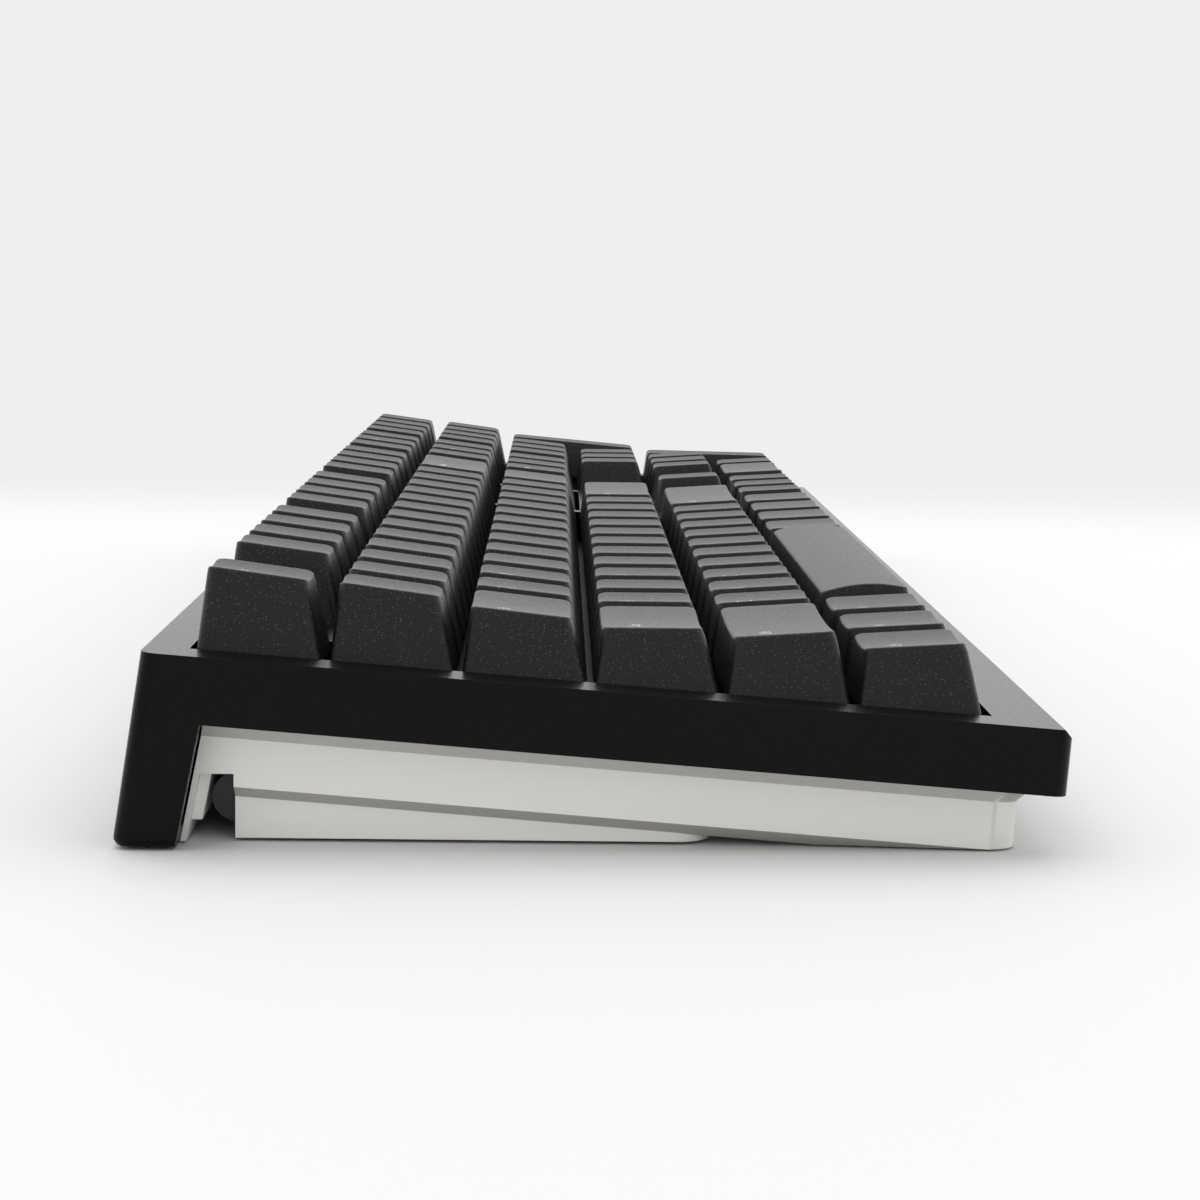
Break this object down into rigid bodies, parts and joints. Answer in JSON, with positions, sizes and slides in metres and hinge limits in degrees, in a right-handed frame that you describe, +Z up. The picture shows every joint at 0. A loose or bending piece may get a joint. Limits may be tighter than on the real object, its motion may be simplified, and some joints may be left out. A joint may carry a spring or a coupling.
{
  "type": "mechanical keyboard",
  "caption": "Full-size mechanical keyboard with sculpted keycaps that travel, a two-part case with a deep rear leg, and fold-out feet.",
  "frame": {"origin": "on the table under the middle of the case", "axes": "+X along the keyboard to the typist's right, +Y to the rear, +Z up"},
  "size_m": [0.445, 0.1355, 0.0393],
  "materials": {
    "black_case": "satin moulded",
    "white_shell": "fine matt",
    "keycap": "fine grained",
    "switch_plastic": "smooth",
    "steel": "plain",
    "board": "solder mask",
    "foam": "foam",
    "rubber": "matt"
  },
  "bodies": {
    "case": {"top_case": "black_case", "bottom_case": "white_shell", "switch_plate": "steel", "circuit_board": "board", "switch_top_housings": "switch_plastic", "switch_bottom_housings": "switch_plastic", "switch_springs": "steel", "stabiliser_housings": "switch_plastic", "stabiliser_wires": "steel", "damping_foam": "foam", "usb_socket": "steel", "controller_chip": "board", "case_screws": "steel", "foot_hinge_pins": "steel", "rear_rubber_pads": "rubber", "front_rubber_pads": "rubber"},
    "escape_key": {"escape_key": "keycap"},
    "f1_to_f4_keys": {"f1_to_f4_keys": "keycap"},
    "f5_to_f8_keys": {"f5_to_f8_keys": "keycap"},
    "f9_to_f12_keys": {"f9_to_f12_keys": "keycap"},
    "system_keys": {"system_keys": "keycap"},
    "media_keys": {"media_keys": "keycap"},
    "number_row_keys": {"number_row_keys": "keycap"},
    "backspace_key": {"backspace_key": "keycap"},
    "edit_keys_upper": {"edit_keys_upper": "keycap"},
    "numpad_operator_keys": {"numpad_operator_keys": "keycap"},
    "tab_key": {"tab_key": "keycap"},
    "q_row_keys": {"q_row_keys": "keycap"},
    "edit_keys_lower": {"edit_keys_lower": "keycap"},
    "numpad_789_keys": {"numpad_789_keys": "keycap"},
    "numpad_plus_key": {"numpad_plus_key": "keycap"},
    "caps_lock_key": {"caps_lock_key": "keycap"},
    "a_row_keys": {"a_row_keys": "keycap"},
    "enter_key": {"enter_key": "keycap"},
    "numpad_456_keys": {"numpad_456_keys": "keycap"},
    "left_shift_key": {"left_shift_key": "keycap"},
    "z_row_keys": {"z_row_keys": "keycap"},
    "right_shift_key": {"right_shift_key": "keycap"},
    "arrow_up_key": {"arrow_up_key": "keycap"},
    "numpad_123_keys": {"numpad_123_keys": "keycap"},
    "numpad_enter_key": {"numpad_enter_key": "keycap"},
    "left_control_key": {"left_control_key": "keycap"},
    "left_system_key": {"left_system_key": "keycap"},
    "left_alt_key": {"left_alt_key": "keycap"},
    "space_bar": {"space_bar": "keycap"},
    "right_alt_key": {"right_alt_key": "keycap"},
    "right_system_key": {"right_system_key": "keycap"},
    "function_key": {"function_key": "keycap"},
    "right_control_key": {"right_control_key": "keycap"},
    "arrow_left_key": {"arrow_left_key": "keycap"},
    "arrow_down_key": {"arrow_down_key": "keycap"},
    "arrow_right_key": {"arrow_right_key": "keycap"},
    "numpad_zero_key": {"numpad_zero_key": "keycap"},
    "numpad_point_key": {"numpad_point_key": "keycap"},
    "left_large_foot": {"left_large_foot": "black_case", "left_foot_tip": "rubber"},
    "left_small_foot": {"left_small_foot": "black_case"},
    "right_large_foot": {"right_large_foot": "black_case", "right_foot_tip": "rubber"},
    "right_small_foot": {"right_small_foot": "black_case"}
  },
  "joints": [
    {"name": "escape_key_press", "type": "slide", "parent": "case", "child": "escape_key", "axis": [0, 0.0741, -0.9973], "range_m": [0, 0.004], "stiffness_N_per_m": 75, "springref_m": -0.004, "deforming": ["switch_springs"]},
    {"name": "f1_to_f4_keys_press", "type": "slide", "parent": "case", "child": "f1_to_f4_keys", "axis": [0, 0.0741, -0.9973], "range_m": [0, 0.004], "stiffness_N_per_m": 300, "springref_m": -0.004, "deforming": ["switch_springs"]},
    {"name": "f5_to_f8_keys_press", "type": "slide", "parent": "case", "child": "f5_to_f8_keys", "axis": [0, 0.0741, -0.9973], "range_m": [0, 0.004], "stiffness_N_per_m": 300, "springref_m": -0.004, "deforming": ["switch_springs"]},
    {"name": "f9_to_f12_keys_press", "type": "slide", "parent": "case", "child": "f9_to_f12_keys", "axis": [0, 0.0741, -0.9973], "range_m": [0, 0.004], "stiffness_N_per_m": 300, "springref_m": -0.004, "deforming": ["switch_springs"]},
    {"name": "system_keys_press", "type": "slide", "parent": "case", "child": "system_keys", "axis": [0, 0.0741, -0.9973], "range_m": [0, 0.004], "stiffness_N_per_m": 225, "springref_m": -0.004, "deforming": ["switch_springs"]},
    {"name": "media_keys_press", "type": "slide", "parent": "case", "child": "media_keys", "axis": [0, 0.0741, -0.9973], "range_m": [0, 0.004], "stiffness_N_per_m": 300, "springref_m": -0.004, "deforming": ["switch_springs"]},
    {"name": "number_row_keys_press", "type": "slide", "parent": "case", "child": "number_row_keys", "axis": [0, 0.0741, -0.9973], "range_m": [0, 0.004], "stiffness_N_per_m": 975, "springref_m": -0.004, "deforming": ["switch_springs"]},
    {"name": "backspace_key_press", "type": "slide", "parent": "case", "child": "backspace_key", "axis": [0, 0.0741, -0.9973], "range_m": [0, 0.004], "stiffness_N_per_m": 75, "springref_m": -0.004, "deforming": ["switch_springs"]},
    {"name": "edit_keys_upper_press", "type": "slide", "parent": "case", "child": "edit_keys_upper", "axis": [0, 0.0741, -0.9973], "range_m": [0, 0.004], "stiffness_N_per_m": 225, "springref_m": -0.004, "deforming": ["switch_springs"]},
    {"name": "numpad_operator_keys_press", "type": "slide", "parent": "case", "child": "numpad_operator_keys", "axis": [0, 0.0741, -0.9973], "range_m": [0, 0.004], "stiffness_N_per_m": 300, "springref_m": -0.004, "deforming": ["switch_springs"]},
    {"name": "tab_key_press", "type": "slide", "parent": "case", "child": "tab_key", "axis": [0, 0.0741, -0.9973], "range_m": [0, 0.004], "stiffness_N_per_m": 75, "springref_m": -0.004, "deforming": ["switch_springs"]},
    {"name": "q_row_keys_press", "type": "slide", "parent": "case", "child": "q_row_keys", "axis": [0, 0.0741, -0.9973], "range_m": [0, 0.004], "stiffness_N_per_m": 975, "springref_m": -0.004, "deforming": ["switch_springs"]},
    {"name": "edit_keys_lower_press", "type": "slide", "parent": "case", "child": "edit_keys_lower", "axis": [0, 0.0741, -0.9973], "range_m": [0, 0.004], "stiffness_N_per_m": 225, "springref_m": -0.004, "deforming": ["switch_springs"]},
    {"name": "numpad_789_keys_press", "type": "slide", "parent": "case", "child": "numpad_789_keys", "axis": [0, 0.0741, -0.9973], "range_m": [0, 0.004], "stiffness_N_per_m": 225, "springref_m": -0.004, "deforming": ["switch_springs"]},
    {"name": "numpad_plus_key_press", "type": "slide", "parent": "case", "child": "numpad_plus_key", "axis": [0, 0.0741, -0.9973], "range_m": [0, 0.004], "stiffness_N_per_m": 75, "springref_m": -0.004, "deforming": ["switch_springs"]},
    {"name": "caps_lock_key_press", "type": "slide", "parent": "case", "child": "caps_lock_key", "axis": [0, 0.0741, -0.9973], "range_m": [0, 0.004], "stiffness_N_per_m": 75, "springref_m": -0.004, "deforming": ["switch_springs"]},
    {"name": "a_row_keys_press", "type": "slide", "parent": "case", "child": "a_row_keys", "axis": [0, 0.0741, -0.9973], "range_m": [0, 0.004], "stiffness_N_per_m": 825, "springref_m": -0.004, "deforming": ["switch_springs"]},
    {"name": "enter_key_press", "type": "slide", "parent": "case", "child": "enter_key", "axis": [0, 0.0741, -0.9973], "range_m": [0, 0.004], "stiffness_N_per_m": 75, "springref_m": -0.004, "deforming": ["switch_springs"]},
    {"name": "numpad_456_keys_press", "type": "slide", "parent": "case", "child": "numpad_456_keys", "axis": [0, 0.0741, -0.9973], "range_m": [0, 0.004], "stiffness_N_per_m": 225, "springref_m": -0.004, "deforming": ["switch_springs"]},
    {"name": "left_shift_key_press", "type": "slide", "parent": "case", "child": "left_shift_key", "axis": [0, 0.0741, -0.9973], "range_m": [0, 0.004], "stiffness_N_per_m": 75, "springref_m": -0.004, "deforming": ["switch_springs"]},
    {"name": "z_row_keys_press", "type": "slide", "parent": "case", "child": "z_row_keys", "axis": [0, 0.0741, -0.9973], "range_m": [0, 0.004], "stiffness_N_per_m": 750, "springref_m": -0.004, "deforming": ["switch_springs"]},
    {"name": "right_shift_key_press", "type": "slide", "parent": "case", "child": "right_shift_key", "axis": [0, 0.0741, -0.9973], "range_m": [0, 0.004], "stiffness_N_per_m": 75, "springref_m": -0.004, "deforming": ["switch_springs"]},
    {"name": "arrow_up_key_press", "type": "slide", "parent": "case", "child": "arrow_up_key", "axis": [0, 0.0741, -0.9973], "range_m": [0, 0.004], "stiffness_N_per_m": 75, "springref_m": -0.004, "deforming": ["switch_springs"]},
    {"name": "numpad_123_keys_press", "type": "slide", "parent": "case", "child": "numpad_123_keys", "axis": [0, 0.0741, -0.9973], "range_m": [0, 0.004], "stiffness_N_per_m": 225, "springref_m": -0.004, "deforming": ["switch_springs"]},
    {"name": "numpad_enter_key_press", "type": "slide", "parent": "case", "child": "numpad_enter_key", "axis": [0, 0.0741, -0.9973], "range_m": [0, 0.004], "stiffness_N_per_m": 75, "springref_m": -0.004, "deforming": ["switch_springs"]},
    {"name": "left_control_key_press", "type": "slide", "parent": "case", "child": "left_control_key", "axis": [0, 0.0741, -0.9973], "range_m": [0, 0.004], "stiffness_N_per_m": 75, "springref_m": -0.004, "deforming": ["switch_springs"]},
    {"name": "left_system_key_press", "type": "slide", "parent": "case", "child": "left_system_key", "axis": [0, 0.0741, -0.9973], "range_m": [0, 0.004], "stiffness_N_per_m": 75, "springref_m": -0.004, "deforming": ["switch_springs"]},
    {"name": "left_alt_key_press", "type": "slide", "parent": "case", "child": "left_alt_key", "axis": [0, 0.0741, -0.9973], "range_m": [0, 0.004], "stiffness_N_per_m": 75, "springref_m": -0.004, "deforming": ["switch_springs"]},
    {"name": "space_bar_press", "type": "slide", "parent": "case", "child": "space_bar", "axis": [0, 0.0741, -0.9973], "range_m": [0, 0.004], "stiffness_N_per_m": 75, "springref_m": -0.004, "deforming": ["switch_springs"]},
    {"name": "right_alt_key_press", "type": "slide", "parent": "case", "child": "right_alt_key", "axis": [0, 0.0741, -0.9973], "range_m": [0, 0.004], "stiffness_N_per_m": 75, "springref_m": -0.004, "deforming": ["switch_springs"]},
    {"name": "right_system_key_press", "type": "slide", "parent": "case", "child": "right_system_key", "axis": [0, 0.0741, -0.9973], "range_m": [0, 0.004], "stiffness_N_per_m": 75, "springref_m": -0.004, "deforming": ["switch_springs"]},
    {"name": "function_key_press", "type": "slide", "parent": "case", "child": "function_key", "axis": [0, 0.0741, -0.9973], "range_m": [0, 0.004], "stiffness_N_per_m": 75, "springref_m": -0.004, "deforming": ["switch_springs"]},
    {"name": "right_control_key_press", "type": "slide", "parent": "case", "child": "right_control_key", "axis": [0, 0.0741, -0.9973], "range_m": [0, 0.004], "stiffness_N_per_m": 75, "springref_m": -0.004, "deforming": ["switch_springs"]},
    {"name": "arrow_left_key_press", "type": "slide", "parent": "case", "child": "arrow_left_key", "axis": [0, 0.0741, -0.9973], "range_m": [0, 0.004], "stiffness_N_per_m": 75, "springref_m": -0.004, "deforming": ["switch_springs"]},
    {"name": "arrow_down_key_press", "type": "slide", "parent": "case", "child": "arrow_down_key", "axis": [0, 0.0741, -0.9973], "range_m": [0, 0.004], "stiffness_N_per_m": 75, "springref_m": -0.004, "deforming": ["switch_springs"]},
    {"name": "arrow_right_key_press", "type": "slide", "parent": "case", "child": "arrow_right_key", "axis": [0, 0.0741, -0.9973], "range_m": [0, 0.004], "stiffness_N_per_m": 75, "springref_m": -0.004, "deforming": ["switch_springs"]},
    {"name": "numpad_zero_key_press", "type": "slide", "parent": "case", "child": "numpad_zero_key", "axis": [0, 0.0741, -0.9973], "range_m": [0, 0.004], "stiffness_N_per_m": 75, "springref_m": -0.004, "deforming": ["switch_springs"]},
    {"name": "numpad_point_key_press", "type": "slide", "parent": "case", "child": "numpad_point_key", "axis": [0, 0.0741, -0.9973], "range_m": [0, 0.004], "stiffness_N_per_m": 75, "springref_m": -0.004, "deforming": ["switch_springs"]},
    {"name": "left_large_foot_fold", "type": "hinge", "parent": "case", "child": "left_large_foot", "pos_m": [-0.19751, 0.05108, 0.0061], "axis": [1, 0, 0], "range_deg": [0, 80]},
    {"name": "left_small_foot_fold", "type": "hinge", "parent": "case", "child": "left_small_foot", "pos_m": [-0.19751, 0.05108, 0.0061], "axis": [1, 0, 0], "range_deg": [0, 80]},
    {"name": "right_large_foot_fold", "type": "hinge", "parent": "case", "child": "right_large_foot", "pos_m": [0.19751, 0.05108, 0.0061], "axis": [1, 0, 0], "range_deg": [0, 80]},
    {"name": "right_small_foot_fold", "type": "hinge", "parent": "case", "child": "right_small_foot", "pos_m": [0.19751, 0.05108, 0.0061], "axis": [1, 0, 0], "range_deg": [0, 80]}
  ]
}
